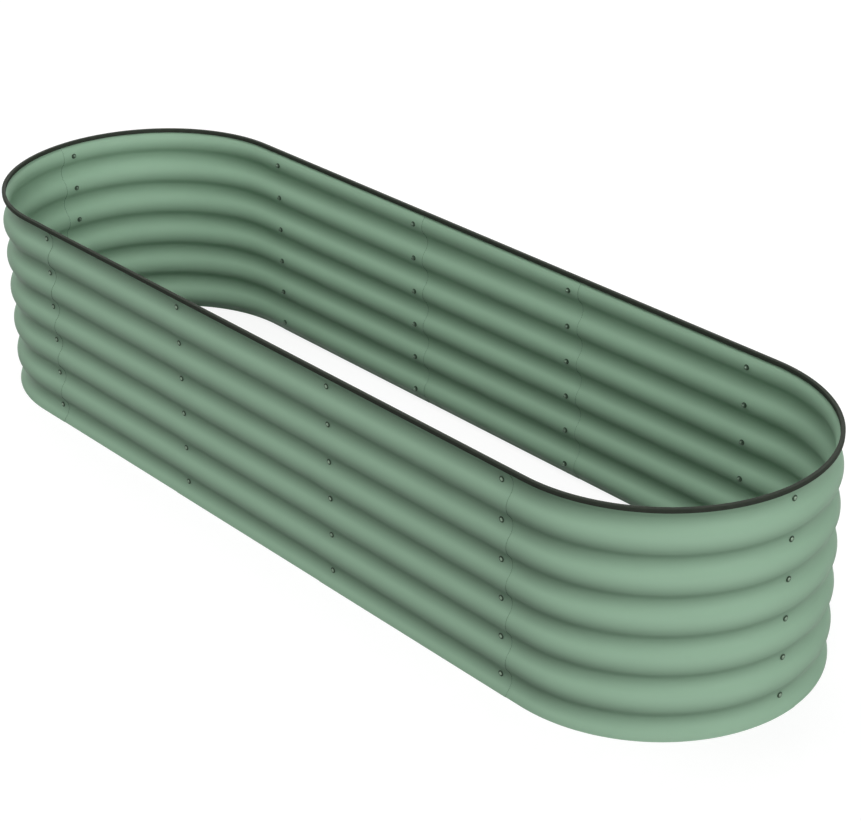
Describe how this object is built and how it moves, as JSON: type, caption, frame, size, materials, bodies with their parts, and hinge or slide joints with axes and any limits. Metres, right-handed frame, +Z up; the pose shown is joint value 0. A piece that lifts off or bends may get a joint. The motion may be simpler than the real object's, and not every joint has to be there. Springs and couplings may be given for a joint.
{
  "type": "raised garden bed",
  "caption": "Long corrugated steel garden bed with round ends, open top and bottom, bolted lap seams and a rubber rim edging.",
  "frame": {"origin": "middle of the bed's footprint, on the ground", "axes": "+X along the bed, +Y across it towards the back, +Z up"},
  "size_m": [2.0798, 0.6226, 0.4362],
  "materials": {
    "painted_sheet": "satin sage green coating on galvanised corrugated steel",
    "edging_rubber": "matt black extruded rubber",
    "zinc_steel": "zinc-plated steel, slightly dull",
    "black_zinc": "black-passivated zinc on steel, dark and slightly glossy",
    "washer_rubber": "matt black rubber"
  },
  "bodies": {
    "root": {"front_panel_1": "painted_sheet", "front_panel_2": "painted_sheet", "front_panel_3": "painted_sheet", "back_panel_1": "painted_sheet", "back_panel_2": "painted_sheet", "back_panel_3": "painted_sheet", "corner_front_left": "painted_sheet", "corner_front_right": "painted_sheet", "corner_back_left": "painted_sheet", "corner_back_right": "painted_sheet", "rim_edging": "edging_rubber", "bolts_front_1": "zinc_steel", "bolts_front_2": "zinc_steel", "bolts_front_3": "zinc_steel", "bolts_front_4": "zinc_steel", "bolts_back_1": "zinc_steel", "bolts_back_2": "zinc_steel", "bolts_back_3": "zinc_steel", "bolts_back_4": "zinc_steel", "bolts_left_end": "zinc_steel", "bolts_right_end": "zinc_steel", "outer_washers_front_1": "washer_rubber", "outer_washers_front_2": "washer_rubber", "outer_washers_front_3": "washer_rubber", "outer_washers_front_4": "washer_rubber", "outer_washers_back_1": "washer_rubber", "outer_washers_back_2": "washer_rubber", "outer_washers_back_3": "washer_rubber", "outer_washers_back_4": "washer_rubber", "outer_washers_left_end": "washer_rubber", "outer_washers_right_end": "washer_rubber", "inner_washers_front_1": "washer_rubber", "inner_washers_front_2": "washer_rubber", "inner_washers_front_3": "washer_rubber", "inner_washers_front_4": "washer_rubber", "inner_washers_back_1": "washer_rubber", "inner_washers_back_2": "washer_rubber", "inner_washers_back_3": "washer_rubber", "inner_washers_back_4": "washer_rubber", "inner_washers_left_end": "washer_rubber", "inner_washers_right_end": "washer_rubber", "cap_nuts_front_1": "black_zinc", "cap_nuts_front_2": "black_zinc", "cap_nuts_front_3": "black_zinc", "cap_nuts_front_4": "black_zinc", "cap_nuts_back_1": "black_zinc", "cap_nuts_back_2": "black_zinc", "cap_nuts_back_3": "black_zinc", "cap_nuts_back_4": "black_zinc", "cap_nuts_left_end": "black_zinc", "cap_nuts_right_end": "black_zinc"}
  },
  "joints": []
}
